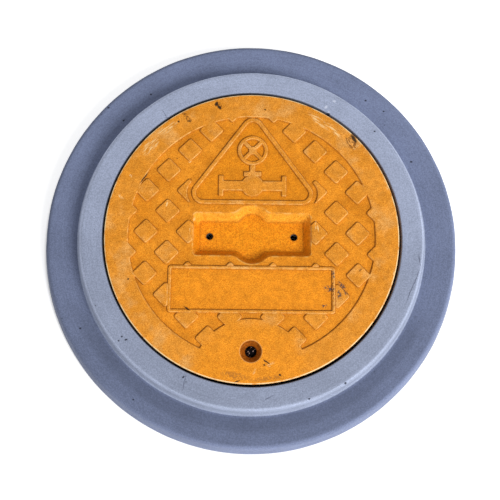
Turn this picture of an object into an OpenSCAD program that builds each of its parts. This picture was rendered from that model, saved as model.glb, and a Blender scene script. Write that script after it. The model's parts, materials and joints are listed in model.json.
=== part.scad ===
// Round valve-chamber cover: a moulded resin lid with a quarter-turn lock, in a
// reinforced concrete surround. The origin is the centre of the surround's
// underside, +Z is up, and the lock is on the -Y side of the lid.

/* [Surround] */
// Diameter of the surround at its foot
foot_d = 732; // [726:1:740]
// Diameter of the flange's top, before its edge is rounded
flange_d = 710; // [706:1:716]
// Height of the flange
flange_h = 54; // [52:1:56]
// Overall height, from the underside to the collar's top
total_h = 90; // [90:1:96]
// Diameter of the collar where it meets the flange
collar_foot_d = 602; // [600:1:610]
// Diameter of the collar's flat top
collar_top_d = 580; // [578:1:584]
// Rounding of the collar's and the flange's upper edges
shoulder = 9; // [4:1:10]
// Diameter of the opening that the lid drops into
opening_d = 507; // [506:1:509]
// Clear diameter below the seat
clear_d = 440; // [436:1:442]

/* [Reinforcement] */
// Diameter of the reinforcing hoops
hoop_bar = 10; // [8:1:10]
// Number of stirrups
stirrup_count = 16; // [8:8:16]
// Thickness of the stirrups
stirrup_bar = 6; // [4:1:6]
// Diameter of the steel bars in the lid
lid_bar = 8; // [6:1:8]

/* [Lid] */
// Diameter of the lid
lid_d = 500; // [498:1:502]
// Thickness of the lid at its rim
lid_h = 42; // [40:1:42]
// Height of the tread above the ground of the lid
relief_h = 3; // [2:0.5:4.5]
// Thickness of the plate under the ground
plate_t = 14; // [12:0.5:15]
// Diameter inside the raised rim
rim_in_d = 419; // [410:1:424]
// Width of the ribs under the lid
rib_w = 16; // [14:1:18]

/* [Tread and signs] */
// Spacing of the tread lattice
tread_pitch = 35.9; // [34:0.1:36]
// Side of a tread square
tread_side = 30; // [24:1:30]
// Distance of the lattice's centre from the lid's centre
tread_shift = 4.6; // [0:0.1:6]
// Half the base of the warning triangle, before its corners are rounded
sign_half = 122.5; // [118:0.5:124]
// Width of the triangle's ridge
sign_ridge = 7; // [4:0.5:8]
// Length of the blank plaque
plaque_l = 280; // [260:1:282]
// Width of the blank plaque
plaque_w = 79; // [60:0.5:80]
// Width of the plaque's ridge
plaque_ridge = 5; // [3:0.5:7]

/* [Handle recess] */
// Length of the recess at its mouth
recess_l = 200; // [190:1:204]
// Width of the recess at its mouth
recess_w = 74; // [68:1:76]
// Diameter of the two round hand spaces at their mouth
recess_d = 68; // [62:1:70]
// Depth of the recess below the ground
recess_deep = 21.5; // [16:0.5:22]
// How far the recess's walls lean in
recess_lean = 11; // [4:0.5:13]
// Distance between the two lifting holes
lift_spacing = 145; // [136:1:148]
// Diameter of the lifting holes
lift_d = 12; // [8:1:14]

/* [Lock] */
// Distance of the lock's axis from the lid's centre
lock_r = 196; // [195:0.5:197]
// Diameter of the lock well at its mouth
well_d = 37.6; // [34:0.2:40]
// Diameter of the hole that shows the key end
key_hole_d = 19.6; // [19.6:0.2:22]
// Diameter of the lock bolt's shank
shank_d = 16; // [15:0.5:17]
// Reach of the tongue from the lock's axis
tongue_reach = 60; // [54:1:61]
// Turn of the lock from open
lock_turn = 0; // [0:5:90]

/* [Hidden] */
$fn = 96;
eps = 0.01;
cast_gap = 0.1;       // room round a piece that is cast in
gap = 0.3;            // room between a fixed and a turning face

// Levels
top_z = total_h;
ground_z = top_z - relief_h;
lid_z = top_z - lid_h;
plate_z = ground_z - plate_t;

// Seat and its rubber ring
ring_proud = 2;
seat_z = lid_z - ring_proud;
ring_in_r = 228;
ring_out_r = 240;
groove_deep = 4;
mouth_chamfer = 2;

// Foot of the surround: the wall is upright up to foot_h and leans in above it
foot_h = 8;
wall_lean = (foot_d - flange_d) / 2 / (flange_h - foot_h);

// Reinforcement of the surround
cover = 11.5;
link_in_r = 262;
link_out_r = 341;
link_collar_r = 285;
link_flange_z = flange_h - 7;
link_top_z = total_h - 8;
hoop_in = stirrup_bar + hoop_bar / 2 + 0.5;
hoop_low_z = cover + hoop_in;
hoop_high_z = link_flange_z - hoop_in;
hoop_top_z = link_top_z - hoop_in;
hoop_in_r = link_in_r + hoop_in;
hoop_out_r = link_out_r - hoop_in;

// Underside of the lid
rim_under_r = 226;
rim_draft = 3;
edge_chamfer = 1.5;
rib_step_x = 60;
rib_step_y = 72;
rib_rows = [for (i = [-2 : 2]) i * rib_step_y];
rib_cols = [for (i = [-3 : 3]) if (i != 0) i * rib_step_x];
bar_rows = [for (i = [-2 : 2]) if (i != 0) i * rib_step_y];
bar_cols = [for (i = [-3 : 3]) if (abs(i) > 1) i * rib_step_x];
bar_rows_z = lid_z + 10;
bar_cols_z = lid_z + 20;
bar_reach = rim_under_r + 5;
lid_hoop_r = 238;
lid_hoop_z = lid_z + 18;

// Handle recess
recess_y = 1.3;
hand_y = 17;          // of each round hand space from the middle of the recess
pan_t = 8;
recess_z = ground_z - recess_deep;
pan_z = recess_z - pan_t;
lift_boss_r = 16;
bush_r = 11;
bush_skin = 3.5;

// Warning triangle: the apex and base of its outline before rounding
sign_apex_y = 221;
sign_base_y = 53.5;
sign_round = 19.5;
sign_margin = 8;
sign_slope = atan((sign_apex_y - sign_base_y) / sign_half);

// Blank plaque
plaque_top_y = -53.5;
plaque_y = plaque_top_y - plaque_w / 2;

// Raised apron round the lock
apron_r = 101;
apron_y = -243;

// Valve sign: wheel, stem, bonnet, body and flanged pipe
wheel_y = 149;
wheel_r = 26;
wheel_rim = 6;
wheel_hub_r = 7;
valve_y = 86;
valve_r = 19;
pipe_half = 54;
pipe_w = 17;
pipe_flange_t = 8;
pipe_flange_w = 36;
stem_w = 9;
bonnet_half = 15;
bonnet_h = 8;

// Lock, from the key end down to the bolt's lower end
lock_y = -lock_r;
lock_boss_r = 27;
well_floor_z = top_z - 10;
well_floor_r = key_hole_d / 2 + 0.6;
key_r = 9.5;
key_top_z = top_z - 15;
stud_r = 6.5;
stud_h = 4;
sleeve_r = 17;
sleeve_top_z = top_z - 18;
collar_r = 14;
collar_h = 4;
collar_z = sleeve_top_z - 6;
seal_t = 1.5;
washer_in_r = shank_d / 2 + 0.3;
washer_out_r = 14;
washer_t = 2;
tongue_z = 13.5;
tongue_t = 8;
tongue_hub_r = 14;
tongue_w = 20;
tongue_drive = 12.5;
thread_r = 6;
nut_flats = 18;
nut_t = 7;
bolt_end_z = 1.5;
pin_z = 3.8;
pin_r = 1.5;
pin_l = 22;
pin_head_r = 2.3;

// Spring
wire_r = 1.75;
spring_r = 11.5;
spring_turns = 4.5;
spring_steps = 24;
spring_sides = 8;
spring_low_z = tongue_z + tongue_t + washer_t;
spring_high_z = lid_z - gap - washer_t;

// Keeper and the pocket that the tongue swings into
pocket_r = 66;
keeper_t = 6;
keeper_z = tongue_z + tongue_t + 0.5;
keeper_in_r = clear_d / 2 + 2;
screw_x = 32;
screw_y = -240;
screw_r = 4;
screw_head_r = 8;
screw_l = 16;
screw_key = 5;
socket_r = 7;
socket_l = 12;

// A hoop of round bar: mean radius, height of its centre and bar diameter
module hoop(r, z, bar) {
    translate([0, 0, z]) rotate_extrude() translate([r, 0]) circle(d = bar);
}

// Room for a hoop: an eight-sided channel that the round bar just fits
module hoop_room(r, z, bar) {
    translate([0, 0, z]) rotate_extrude($fn = 180) translate([r, 0]) rotate(22.5)
        circle(d = (bar + 2 * cast_gap) / cos(22.5), $fn = 8);
}

// Straight bars along X at the given rows, each as long as the round rim allows
module bars(rows, z, bar, reach) {
    for (y = rows) {
        half = sqrt(reach * reach - y * y);
        translate([-half, y, z]) rotate([0, 90, 0]) cylinder(d = bar, h = 2 * half);
    }
}

// ---- Surround ----

// Half section of the surround
module surround_section() {
    polygon([
        [clear_d / 2, 0],
        [foot_d / 2, 0],
        [foot_d / 2, foot_h],
        [flange_d / 2 + shoulder * wall_lean, flange_h - shoulder],
        [flange_d / 2 - shoulder * 0.15, flange_h - shoulder * 0.3],
        [flange_d / 2 - shoulder, flange_h],
        [collar_foot_d / 2, flange_h],
        [collar_top_d / 2 + shoulder * 0.4, total_h - shoulder],
        [collar_top_d / 2 - shoulder * 0.1, total_h - shoulder * 0.3],
        [collar_top_d / 2 - shoulder * 0.8, total_h],
        [opening_d / 2 + mouth_chamfer, total_h],
        [opening_d / 2, total_h - mouth_chamfer],
        [opening_d / 2, seat_z],
        [ring_out_r + cast_gap, seat_z],
        [ring_out_r + cast_gap, seat_z - groove_deep],
        [ring_in_r - cast_gap, seat_z - groove_deep],
        [ring_in_r - cast_gap, seat_z],
        [clear_d / 2, seat_z]
    ]);
}

// Outline of one stirrup, as it stands in the surround's section
module stirrup_outline(inset) {
    polygon([
        [link_in_r + inset, cover + inset],
        [link_out_r - inset, cover + inset],
        [link_out_r - inset, link_flange_z - inset],
        [link_collar_r - inset, link_flange_z - inset],
        [link_collar_r - inset, link_top_z - inset],
        [link_in_r + inset, link_top_z - inset]
    ]);
}

// The ring of stirrups; room makes each one a little larger on every side
module stirrup_ring(room) {
    for (i = [0 : stirrup_count - 1])
        rotate([90, 0, (i + 0.5) * 360 / stirrup_count])
            linear_extrude(stirrup_bar + 2 * room, center = true) difference() {
                stirrup_outline(-room);
                stirrup_outline(stirrup_bar + room);
            }
}

module keeper_blank(h) {
    difference() {
        translate([0, lock_y, keeper_z]) cylinder(r = pocket_r - cast_gap, h = h);
        translate([0, 0, keeper_z - 1]) cylinder(r = keeper_in_r, h = h + 2);
        translate([-pocket_r, lock_y, keeper_z - 1]) cube([2 * pocket_r, 2 * pocket_r, h + 2]);
    }
}

module frame_casting() {
    color("lightsteelblue") difference() {
        rotate_extrude($fn = 180) surround_section();
        hoop_room(hoop_out_r, hoop_low_z, hoop_bar);
        hoop_room(hoop_out_r, hoop_high_z, hoop_bar);
        hoop_room(hoop_in_r, hoop_low_z, hoop_bar);
        hoop_room(hoop_in_r, hoop_top_z, hoop_bar);
        stirrup_ring(cast_gap);
        translate([0, lock_y, -1]) cylinder(r = pocket_r, h = keeper_z + keeper_t + 1);
        for (side = [-1, 1]) translate([side * screw_x, screw_y, keeper_z + keeper_t - eps])
            cylinder(r = socket_r + cast_gap, h = socket_l + cast_gap);
    }
}

module seat_gasket() {
    color("black") translate([0, 0, seat_z - groove_deep]) rotate_extrude($fn = 120)
        translate([ring_in_r, 0]) square([ring_out_r - ring_in_r, groove_deep + ring_proud]);
}

module hoop_flange_low() {
    color("sienna") hoop(hoop_out_r, hoop_low_z, hoop_bar);
}

module hoop_flange_high() {
    color("sienna") hoop(hoop_out_r, hoop_high_z, hoop_bar);
}

module hoop_inner() {
    color("sienna") hoop(hoop_in_r, hoop_low_z, hoop_bar);
}

module hoop_collar() {
    color("sienna") hoop(hoop_in_r, hoop_top_z, hoop_bar);
}

module stirrups() {
    color("saddlebrown") stirrup_ring(0);
}

// Crescent of plate that lines the roof of the lock pocket
module keeper_plate() {
    color("silver") difference() {
        keeper_blank(keeper_t);
        for (side = [-1, 1]) translate([side * screw_x, screw_y, keeper_z - eps]) {
            cylinder(r = screw_r + cast_gap, h = keeper_t + 1);
            cylinder(r1 = screw_head_r + cast_gap, r2 = screw_r + cast_gap, h = keeper_t - 2);
        }
    }
}

// Countersunk screws, driven upwards through the keeper plate
module keeper_screws() {
    color("gainsboro") for (side = [-1, 1]) translate([side * screw_x, screw_y, keeper_z])
        difference() {
            union() {
                cylinder(r = screw_r, h = screw_l);
                cylinder(r1 = screw_head_r, r2 = screw_r, h = keeper_t - 2);
            }
            translate([0, 0, -1]) cylinder(r = screw_key / 2 / cos(30), h = 3.5, $fn = 6);
        }
}

// Sockets cast into the surround, which the keeper screws hold in
module keeper_sockets() {
    color("gold") for (side = [-1, 1])
        translate([side * screw_x, screw_y, keeper_z + keeper_t]) difference() {
            cylinder(r = socket_r, h = socket_l);
            translate([0, 0, -1]) cylinder(r = screw_r + cast_gap, h = socket_l - 1);
        }
}

// ---- Lid ----

// Plate, raised rim and skirt of the lid
module lid_section() {
    polygon([
        [0, plate_z],
        [rim_under_r, plate_z],
        [rim_under_r + 1, lid_z],
        [lid_d / 2 - rim_draft, lid_z],
        [lid_d / 2, top_z - edge_chamfer],
        [lid_d / 2 - edge_chamfer, top_z],
        [rim_in_d / 2, top_z],
        [rim_in_d / 2, ground_z],
        [0, ground_z]
    ]);
}

function tread_x(col) = col * tread_pitch;
function tread_y(row) = tread_shift - row * tread_pitch;

// Half the width of the triangle's outline at height y
function sign_half_at(y) = sign_half * (sign_apex_y - y) / (sign_apex_y - sign_base_y);

// True for the lattice places whose squares the triangle and the recess take
function in_sign(x, y) = y > sign_base_y && abs(x) < sign_half_at(y);
function in_recess(x, y) = abs(x) < recess_l / 2 + 4 && abs(y - recess_y) < recess_w / 2 + 8;
function has_square(col, row) =
    abs(col + row) % 2 == 1
    && norm([tread_x(col), tread_y(row)]) < rim_in_d / 2 + 16
    && !in_sign(tread_x(col), tread_y(row))
    && !in_recess(tread_x(col), tread_y(row));

// A block that rises from just below the ground to the top of the relief
module raised() {
    translate([0, 0, ground_z - 1]) linear_extrude(relief_h + 1) children();
}

// A block that stands through the whole relief, for cutting it
module through_relief() {
    translate([0, 0, ground_z]) linear_extrude(relief_h + 1) children();
}

module tread_squares() {
    intersection() {
        raised() for (col = [-6 : 6], row = [-6 : 6])
            if (has_square(col, row))
                translate([tread_x(col), tread_y(row)]) rotate(45)
                    square(tread_side, center = true);
        translate([0, 0, ground_z - 1]) cylinder(d = rim_in_d + 2, h = relief_h + 1);
    }
}

// Raised apron round the lock, up to the rim
module apron() {
    intersection() {
        translate([0, apron_y, ground_z - 1]) cylinder(r = apron_r, h = relief_h + 1);
        translate([0, 0, ground_z - 1]) cylinder(d = rim_in_d + 2, h = relief_h + 1);
    }
}

// Triangle with rounded corners; inset moves its sides in and margin moves them out
module sign_outline(inset) {
    corner = sign_round - inset;
    apex_drop = sign_round / cos(sign_slope);
    base_in = sign_round / tan(sign_slope / 2);
    hull() {
        translate([0, sign_apex_y - apex_drop]) circle(corner, $fn = 32);
        for (side = [-1, 1])
            translate([side * (sign_half - base_in), sign_base_y + sign_round])
                circle(corner, $fn = 32);
    }
}

module sign_frame() {
    raised() difference() {
        sign_outline(0);
        sign_outline(sign_ridge);
    }
}

// A stop-valve seen from the side, with its handwheel turned to face the reader
module valve_sign() {
    raised() {
        difference() {
            translate([0, wheel_y]) circle(wheel_r);
            translate([0, wheel_y]) circle(wheel_r - wheel_rim);
        }
        translate([0, wheel_y]) {
            circle(wheel_hub_r);
            for (turn = [45, 135]) rotate(turn)
                square([2 * wheel_r - wheel_rim, wheel_rim], center = true);
        }
        translate([-stem_w / 2, valve_y]) square([stem_w, wheel_y - wheel_r - valve_y + 1]);
        translate([-bonnet_half, valve_y + valve_r - 2]) square([2 * bonnet_half, bonnet_h]);
        translate([0, valve_y]) {
            circle(valve_r);
            square([2 * pipe_half, pipe_w], center = true);
            for (side = [-1, 1]) translate([side * pipe_half, 0])
                square([pipe_flange_t, pipe_flange_w], center = true);
        }
    }
}

module plaque_outline(inset) {
    translate([0, plaque_y]) square([plaque_l - 2 * inset, plaque_w - 2 * inset], center = true);
}

module relief() {
    difference() {
        union() {
            tread_squares();
            apron();
        }
        through_relief() plaque_outline(0);
        through_relief() sign_outline(-sign_margin);
    }
    sign_frame();
    valve_sign();
    raised() difference() {
        plaque_outline(0);
        plaque_outline(plaque_ridge);
    }
}

// Rectangle whose four walls lean: half sizes at the bottom and at the top
module leaning_block(half_l, half_w, lean, h) {
    intersection() {
        translate([0, half_w + lean, 0]) rotate([90, 0, 0]) linear_extrude(2 * (half_w + lean))
            polygon([[-half_l, 0], [half_l, 0], [half_l + lean, h], [-half_l - lean, h]]);
        translate([-half_l - lean, 0, 0]) rotate([90, 0, 90]) linear_extrude(2 * (half_l + lean))
            polygon([[-half_w, 0], [half_w, 0], [half_w + lean, h], [-half_w - lean, h]]);
    }
}

// Room for the hand: a leaning rectangle with a leaning round on each long side. It
// goes on past the ground at the same lean, so that it clears the tread.
module handle_recess() {
    rise = recess_deep + relief_h + 1;
    lean = recess_lean * rise / recess_deep;
    translate([0, recess_y, recess_z]) {
        leaning_block(recess_l / 2 - recess_lean, recess_w / 2 - recess_lean, lean, rise);
        for (side = [-1, 1]) translate([0, side * hand_y, 0])
            cylinder(r1 = recess_d / 2 - recess_lean, r2 = recess_d / 2 - recess_lean + lean, h = rise);
    }
}

// Walls and floor of the recess below the plate
module recess_pan() {
    translate([0, recess_y, pan_z]) {
        translate([-recess_l / 2 - pan_t, -recess_w / 2 - pan_t, 0])
            cube([recess_l + 2 * pan_t, recess_w + 2 * pan_t, plate_z - pan_z + 1]);
        for (side = [-1, 1]) translate([0, side * hand_y, 0])
            cylinder(d = recess_d + 2 * pan_t, h = plate_z - pan_z + 1);
    }
}

module ribs() {
    intersection() {
        union() {
            for (y = rib_rows) translate([-rim_under_r, y - rib_w / 2, lid_z])
                cube([2 * rim_under_r, rib_w, plate_z - lid_z + 1]);
            for (x = rib_cols) translate([x - rib_w / 2, -rim_under_r, lid_z])
                cube([rib_w, 2 * rim_under_r, plate_z - lid_z + 1]);
        }
        translate([0, 0, lid_z - 1]) cylinder(r = rim_under_r + 2, h = plate_z);
    }
}

// The two places of the lifting holes
module at_lifts() {
    for (side = [-1, 1]) translate([side * lift_spacing / 2, recess_y, 0]) children();
}

module lid_shell() {
    bush_top_z = recess_z - bush_skin;
    color("darkorange") difference() {
        union() {
            rotate_extrude($fn = 180) lid_section();
            relief();
            recess_pan();
            ribs();
            at_lifts() translate([0, 0, lid_z]) cylinder(r = lift_boss_r, h = pan_z - lid_z + 1);
            translate([0, lock_y, lid_z]) cylinder(r = lock_boss_r, h = plate_z - lid_z + 1);
        }
        handle_recess();
        at_lifts() {
            translate([0, 0, lid_z - 1]) cylinder(d = lift_d, h = top_z);
            translate([0, 0, lid_z - 1]) cylinder(r = bush_r + cast_gap, h = bush_top_z - lid_z + 1);
        }
        translate([0, lock_y, 0]) {
            translate([0, 0, well_floor_z])
                cylinder(r1 = well_floor_r, r2 = well_d / 2, h = top_z - well_floor_z + eps);
            translate([0, 0, sleeve_top_z - 1]) cylinder(d = key_hole_d, h = top_z);
            translate([0, 0, lid_z - 1]) cylinder(r = sleeve_r + cast_gap, h = sleeve_top_z - lid_z + 1);
        }
        bars(bar_rows, bar_rows_z, lid_bar + 2 * cast_gap, bar_reach);
        rotate(90) bars(bar_cols, bar_cols_z, lid_bar + 2 * cast_gap, bar_reach);
        hoop_room(lid_hoop_r, lid_hoop_z, lid_bar);
    }
}

module lid_bars_long() {
    color("sienna") bars(bar_rows, bar_rows_z, lid_bar, bar_reach - cast_gap);
}

module lid_bars_cross() {
    color("sienna") rotate(90) bars(bar_cols, bar_cols_z, lid_bar, bar_reach - cast_gap);
}

module lid_hoop() {
    color("sienna") hoop(lid_hoop_r, lid_hoop_z, lid_bar);
}

// Steel bushes under the lifting holes
module lift_bushes() {
    color("silver") at_lifts() translate([0, 0, lid_z]) difference() {
        cylinder(r = bush_r, h = recess_z - bush_skin - lid_z - cast_gap);
        translate([0, 0, -1]) cylinder(d = lift_d, h = top_z);
    }
}

// ---- Lock ----

// Bearing of the lock bolt, pressed into the lid from below
module lock_sleeve() {
    color("goldenrod") translate([0, lock_y, 0]) difference() {
        translate([0, 0, lid_z]) cylinder(r = sleeve_r, h = sleeve_top_z - lid_z - cast_gap);
        translate([0, 0, lid_z - 1]) cylinder(d = shank_d + 0.1, h = lid_h);
        translate([0, 0, collar_z]) cylinder(r = collar_r + gap, h = lid_h);
    }
}

module lock_seal() {
    color("black") translate([0, lock_y, sleeve_top_z - cast_gap - seal_t]) difference() {
        cylinder(r = collar_r, h = seal_t);
        translate([0, 0, -1]) cylinder(r = key_r + gap, h = seal_t + 2);
    }
}

// Bolt with a five-sided key stud, a collar that the sleeve traps, a squared neck
// that drives the tongue and a threaded end
module lock_bolt() {
    neck_z = tongue_z + tongue_t;
    color("dimgray") translate([0, lock_y, 0]) rotate(-lock_turn) difference() {
        union() {
            translate([0, 0, key_top_z - eps]) cylinder(r = stud_r, h = stud_h, $fn = 5);
            translate([0, 0, collar_z + 1]) cylinder(r = key_r, h = key_top_z - collar_z - 1);
            translate([0, 0, collar_z + cast_gap]) cylinder(r = collar_r, h = collar_h);
            translate([0, 0, neck_z]) cylinder(d = shank_d, h = collar_z - neck_z + 1);
            intersection() {
                translate([0, 0, tongue_z]) cylinder(d = shank_d, h = tongue_t + 1);
                translate([-tongue_drive / 2, -tongue_drive / 2, tongue_z])
                    cube([tongue_drive, tongue_drive, tongue_t + 1]);
            }
            translate([0, 0, bolt_end_z]) cylinder(r = thread_r, h = tongue_z - bolt_end_z + 1);
        }
        translate([-pin_l / 2, 0, pin_z]) rotate([0, 90, 0])
            cylinder(r = pin_r + cast_gap, h = pin_l);
    }
}

// Flat washers above and below the spring
module spring_washers() {
    color("gainsboro") translate([0, lock_y, 0])
        for (z = [spring_low_z - washer_t, spring_high_z]) translate([0, 0, z]) difference() {
            cylinder(r = washer_out_r, h = washer_t);
            translate([0, 0, -1]) cylinder(r = washer_in_r, h = washer_t + 2);
        }
}

// Point j of the wire's ring at step i of the helix
function helix_point(i, j, rise) =
    let (turn = 360 * i / spring_steps, side = 360 * j / spring_sides)
    [(spring_r + wire_r * cos(side)) * cos(turn),
     (spring_r + wire_r * cos(side)) * sin(turn),
     rise * i + wire_r * sin(side)];

// Compression spring that draws the tongue down and so stops it rattling
module lock_spring() {
    steps = spring_turns * spring_steps;
    low = spring_low_z + wire_r + cast_gap;
    rise = (spring_high_z - wire_r - cast_gap - low) / steps;
    points = [for (i = [0 : steps], j = [0 : spring_sides - 1]) helix_point(i, j, rise)];
    sides = [for (i = [0 : steps - 1], j = [0 : spring_sides - 1])
        let (a = i * spring_sides, k = (j + 1) % spring_sides)
        [a + j, a + spring_sides + j, a + spring_sides + k, a + k]];
    start = [for (j = [0 : spring_sides - 1]) j];
    finish = [for (j = [spring_sides - 1 : -1 : 0]) steps * spring_sides + j];
    color("darkgray") translate([0, lock_y, low]) rotate(-lock_turn)
        polyhedron(points, concat(sides, [start], [finish]), convexity = 8);
}

// Tongue that swings from along the lid's rim to under the keeper plate
module lock_tongue() {
    color("slategray") translate([0, lock_y, tongue_z]) rotate(-lock_turn) difference() {
        union() {
            cylinder(r = tongue_hub_r, h = tongue_t);
            translate([0, -tongue_w / 2, 0])
                cube([tongue_reach - tongue_w / 2, tongue_w, tongue_t]);
            translate([tongue_reach - tongue_w / 2, 0, 0]) cylinder(d = tongue_w, h = tongue_t);
        }
        intersection() {
            translate([0, 0, -1]) cylinder(d = shank_d + cast_gap, h = tongue_t + 2);
            translate([0, 0, tongue_t / 2])
                cube([tongue_drive + cast_gap, tongue_drive + cast_gap, tongue_t + 2], center = true);
        }
    }
}

module lock_nut() {
    color("silver") translate([0, lock_y, tongue_z - nut_t]) rotate(-lock_turn) difference() {
        cylinder(r = nut_flats / 2 / cos(30), h = nut_t, $fn = 6);
        translate([0, 0, -1]) cylinder(r = thread_r + cast_gap, h = nut_t + 2);
    }
}

module lock_split_pin() {
    color("gainsboro") translate([0, lock_y, pin_z]) rotate(-lock_turn) {
        translate([-pin_l / 2, 0, 0]) rotate([0, 90, 0]) cylinder(r = pin_r, h = pin_l);
        translate([-pin_l / 2, 0, 0]) sphere(r = pin_head_r, $fn = 48);
    }
}

frame_casting();
seat_gasket();
hoop_flange_low();
hoop_flange_high();
hoop_inner();
hoop_collar();
stirrups();
keeper_plate();
keeper_screws();
keeper_sockets();
lid_shell();
lid_bars_long();
lid_bars_cross();
lid_hoop();
lift_bushes();
lock_sleeve();
lock_seal();
lock_bolt();
spring_washers();
lock_spring();
lock_tongue();
lock_nut();
lock_split_pin();
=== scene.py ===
import json
import math

import bmesh
import bpy
import numpy as np
from mathutils import Matrix, Vector
from mathutils.geometry import delaunay_2d_cdt


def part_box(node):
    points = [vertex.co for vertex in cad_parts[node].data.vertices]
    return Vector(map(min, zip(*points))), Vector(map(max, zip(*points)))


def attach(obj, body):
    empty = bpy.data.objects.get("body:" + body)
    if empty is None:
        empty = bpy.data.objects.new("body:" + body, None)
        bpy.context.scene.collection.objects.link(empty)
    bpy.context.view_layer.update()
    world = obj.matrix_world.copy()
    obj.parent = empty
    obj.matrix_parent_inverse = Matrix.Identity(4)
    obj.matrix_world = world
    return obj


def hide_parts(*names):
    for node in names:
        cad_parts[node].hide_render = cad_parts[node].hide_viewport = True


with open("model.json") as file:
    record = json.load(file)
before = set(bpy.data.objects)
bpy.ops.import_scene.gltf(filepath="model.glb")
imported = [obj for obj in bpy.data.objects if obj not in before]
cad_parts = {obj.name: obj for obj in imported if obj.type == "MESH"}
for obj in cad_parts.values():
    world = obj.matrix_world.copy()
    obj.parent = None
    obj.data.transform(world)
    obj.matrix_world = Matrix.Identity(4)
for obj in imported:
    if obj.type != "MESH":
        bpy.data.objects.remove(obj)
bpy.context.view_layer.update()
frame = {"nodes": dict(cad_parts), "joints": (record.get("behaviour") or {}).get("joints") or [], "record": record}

# Shapes are worked out in millimetres and turned into metres when a mesh is made.
MM = 0.001


def box_mm(node):
    low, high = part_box(node)
    return np.array(low) / MM, np.array(high) / MM


def joint_named(name):
    return next(j for j in frame["joints"] if j["name"] == name)


def mount_named(name):
    return next(m for m in frame["record"]["mounts"] if m["name"] == name)


# ---- Sizes of the lid, in millimetres ----
# They are the CAD model's, but for the apron and the corners of the recess, which are finer.
LID_LOW, LID_HIGH = box_mm("lid_shell")
TOP_Z = LID_HIGH[2]
LID_Z = LID_LOW[2]
LID_R = LID_HIGH[0]
RELIEF_H = 3.0
GROUND_Z = TOP_Z - RELIEF_H
PLATE_Z = GROUND_Z - 14.0
RIM_IN_R = 209.5
RIM_UNDER_R = 226.5
RIM_DRAFT = 3.0
EDGE_R = 2.4

TREAD_PITCH = 35.9
TREAD_HALF = 15.0
TREAD_SHIFT = 4.6
TREAD_CORNER = 3.5

SIGN_APEX_Y = 221.0
SIGN_BASE_Y = 53.5
SIGN_HALF = 122.5
SIGN_ROUND = 19.5
SIGN_RIDGE = 7.0
SIGN_MARGIN = 8.0

PLAQUE_Y = -93.0
PLAQUE_HALF_X = 140.0
PLAQUE_HALF_Y = 39.5
PLAQUE_RIDGE = 5.0
PLAQUE_CORNER = 5.0

APRON_Y = -238.5
APRON_R = 96.5

LIFT_X = mount_named("lifting_holes")["dims"]["spacing_x_mm"] / 2
RECESS_Y = mount_named("lifting_holes")["pos_m"][1] / MM
RECESS_HALF_X = 100.0
RECESS_HALF_Y = 37.0
HAND_R = 34.0
HAND_Y = 17.0
RECESS_DEEP = 21.5
RECESS_LEAN = 11.0
RECESS_CORNER = 6.0
RECESS_BLEND = 6.0
RECESS_Z = GROUND_Z - RECESS_DEEP
PAN_T = 8.0
LIFT_R = mount_named("lifting_holes")["dims"]["hole_r_mm"]
LIFT_BOSS_R = 16.0
BUSH_R = 11.1
BUSH_Z = RECESS_Z - 3.5

LOCK_Y = joint_named("lock_turn")["pos_m"][1] / MM
WELL_R = 18.8
WELL_DEEP = 10.0
KEY_HOLE_R = 9.8
SLEEVE_R = 17.1
SLEEVE_Z = TOP_Z - 18.0
LOCK_BOSS_R = 27.0

RIB_PITCH_X = 60
RIB_PITCH_Y = 72
RIB_HALF = 8

# Half the width over which an edge falls: of the relief, of the ribs and skirt below, and of
# the pan under the recess
SOFT = 1.0
RIB_SOFT = 0.9
PAN_SOFT = 1.4


# ---- Distances in the plane: negative inside a shape, positive outside ----
def disc(x, y, cx, cy, r):
    return np.hypot(x - cx, y - cy) - r


def slab(x, y, cx, cy, half_x, half_y, corner=0.0, turn=0.0):
    c, s = math.cos(math.radians(turn)), math.sin(math.radians(turn))
    u = np.abs(c * (x - cx) + s * (y - cy)) - half_x + corner
    v = np.abs(c * (y - cy) - s * (x - cx)) - half_y + corner
    outside = np.hypot(np.maximum(u, 0), np.maximum(v, 0))
    return outside + np.minimum(np.maximum(u, v), 0) - corner


def rounded_triangle(x, y, corners, r):
    """Distance to a triangle; corners are the centres of its rounded corners, anticlockwise."""
    nearest = np.full(np.shape(x), 1e9)
    inside = np.ones(np.shape(x), bool)
    for (ax, ay), (bx, by) in zip(corners, corners[1:] + corners[:1]):
        ex, ey = bx - ax, by - ay
        t = np.clip(((x - ax) * ex + (y - ay) * ey) / (ex * ex + ey * ey), 0, 1)
        nearest = np.minimum(nearest, np.hypot(x - ax - t * ex, y - ay - t * ey))
        inside &= ex * (y - ay) - ey * (x - ax) >= 0
    return np.where(inside, -nearest, nearest) - r


def soft_min(a, b, k):
    h = np.maximum(k - np.abs(a - b), 0) / k
    return np.minimum(a, b) - h * h * k / 4


def soft_max(a, b, k):
    return -soft_min(-a, -b, k)


def fall(s, half):
    """1 inside a shape, 0 outside it, with an S-shaped edge that is 2 * half wide."""
    t = np.clip((half - s) / (2 * half), 0, 1)
    return t * t * (3 - 2 * t)


def waves(x, y, size, seed):
    """Smooth unevenness from about -1 to 1, with swells about size across."""
    rng = np.random.default_rng(seed)
    total = np.zeros(np.shape(x))
    count = 9
    for _ in range(count):
        turn, phase = rng.uniform(0, 2 * math.pi, 2)
        k = 2 * math.pi / (size * rng.uniform(0.6, 1.7))
        total += np.sin(k * (x * math.cos(turn) + y * math.sin(turn)) + phase)
    return total / count * 1.6


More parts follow.
